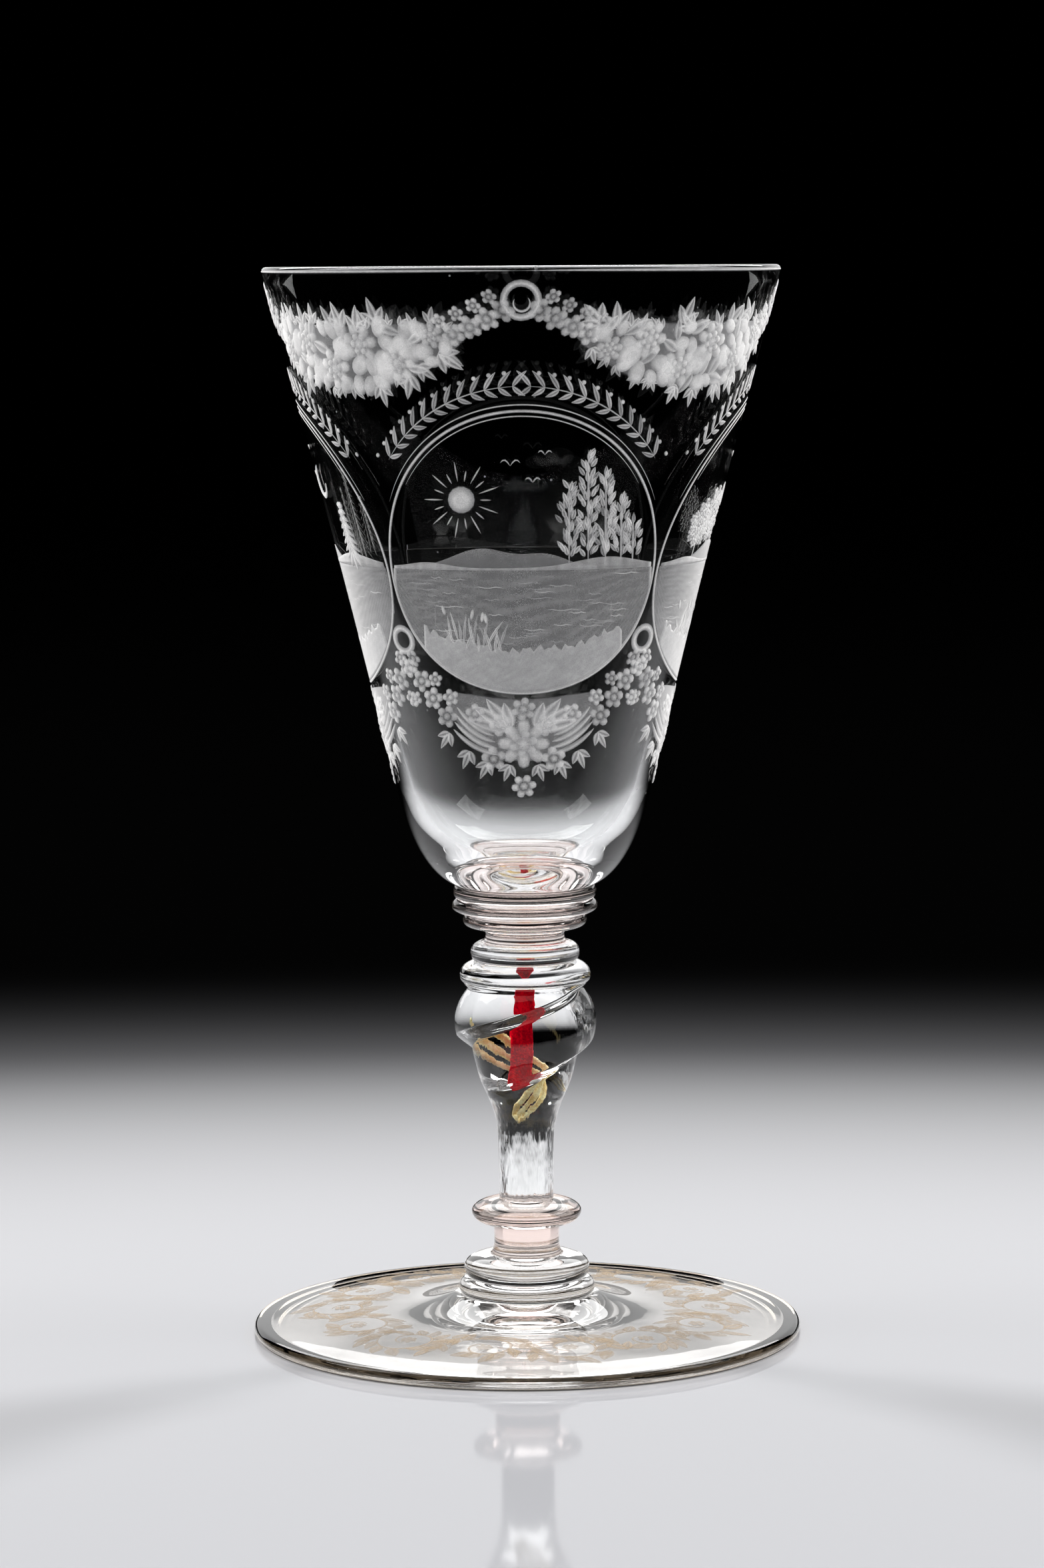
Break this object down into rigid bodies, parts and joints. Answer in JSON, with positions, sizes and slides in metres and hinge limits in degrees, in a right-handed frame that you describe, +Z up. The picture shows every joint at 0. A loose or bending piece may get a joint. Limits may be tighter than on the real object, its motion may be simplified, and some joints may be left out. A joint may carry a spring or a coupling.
{
  "type": "glass goblet",
  "caption": "Tall engraved glass goblet with a flared bowl, ringed collar, twisted baluster stem enclosing ruby and gold threads, and a wide domed foot; holds a drink.",
  "frame": {"origin": "on the floor, at the centre of the ground ring under the foot", "axes": "+Z up the goblet's axis to the rim, -Y to the front, where a fold of the baluster crosses its widest part"},
  "size_m": [0.098, 0.098, 0.1901],
  "materials": {
    "clear_glass": "fire-polished, wheel-engraved on the bowl and foot",
    "rose_glass": "fire-polished, faint rose tint",
    "ruby_glass": "ruby thread enclosed in clear glass",
    "gold_leaf": "gold leaf enclosed in clear glass"
  },
  "bodies": {
    "root": {"foot": "clear_glass", "base_collar": "clear_glass", "base_knob": "clear_glass", "lower_neck": "rose_glass", "lower_disc": "rose_glass", "plain_stem": "clear_glass", "twisted_baluster": "clear_glass", "ruby_ribbon": "ruby_glass", "gold_thread_upper": "gold_leaf", "gold_thread_middle": "gold_leaf", "gold_thread_lower": "gold_leaf", "shoulder_ring": "clear_glass", "neck_disc": "clear_glass", "upper_neck": "rose_glass", "bowl_ring_lower": "rose_glass", "bowl_ring_middle": "rose_glass", "bowl_ring_upper": "rose_glass", "bowl": "clear_glass"}
  },
  "joints": []
}
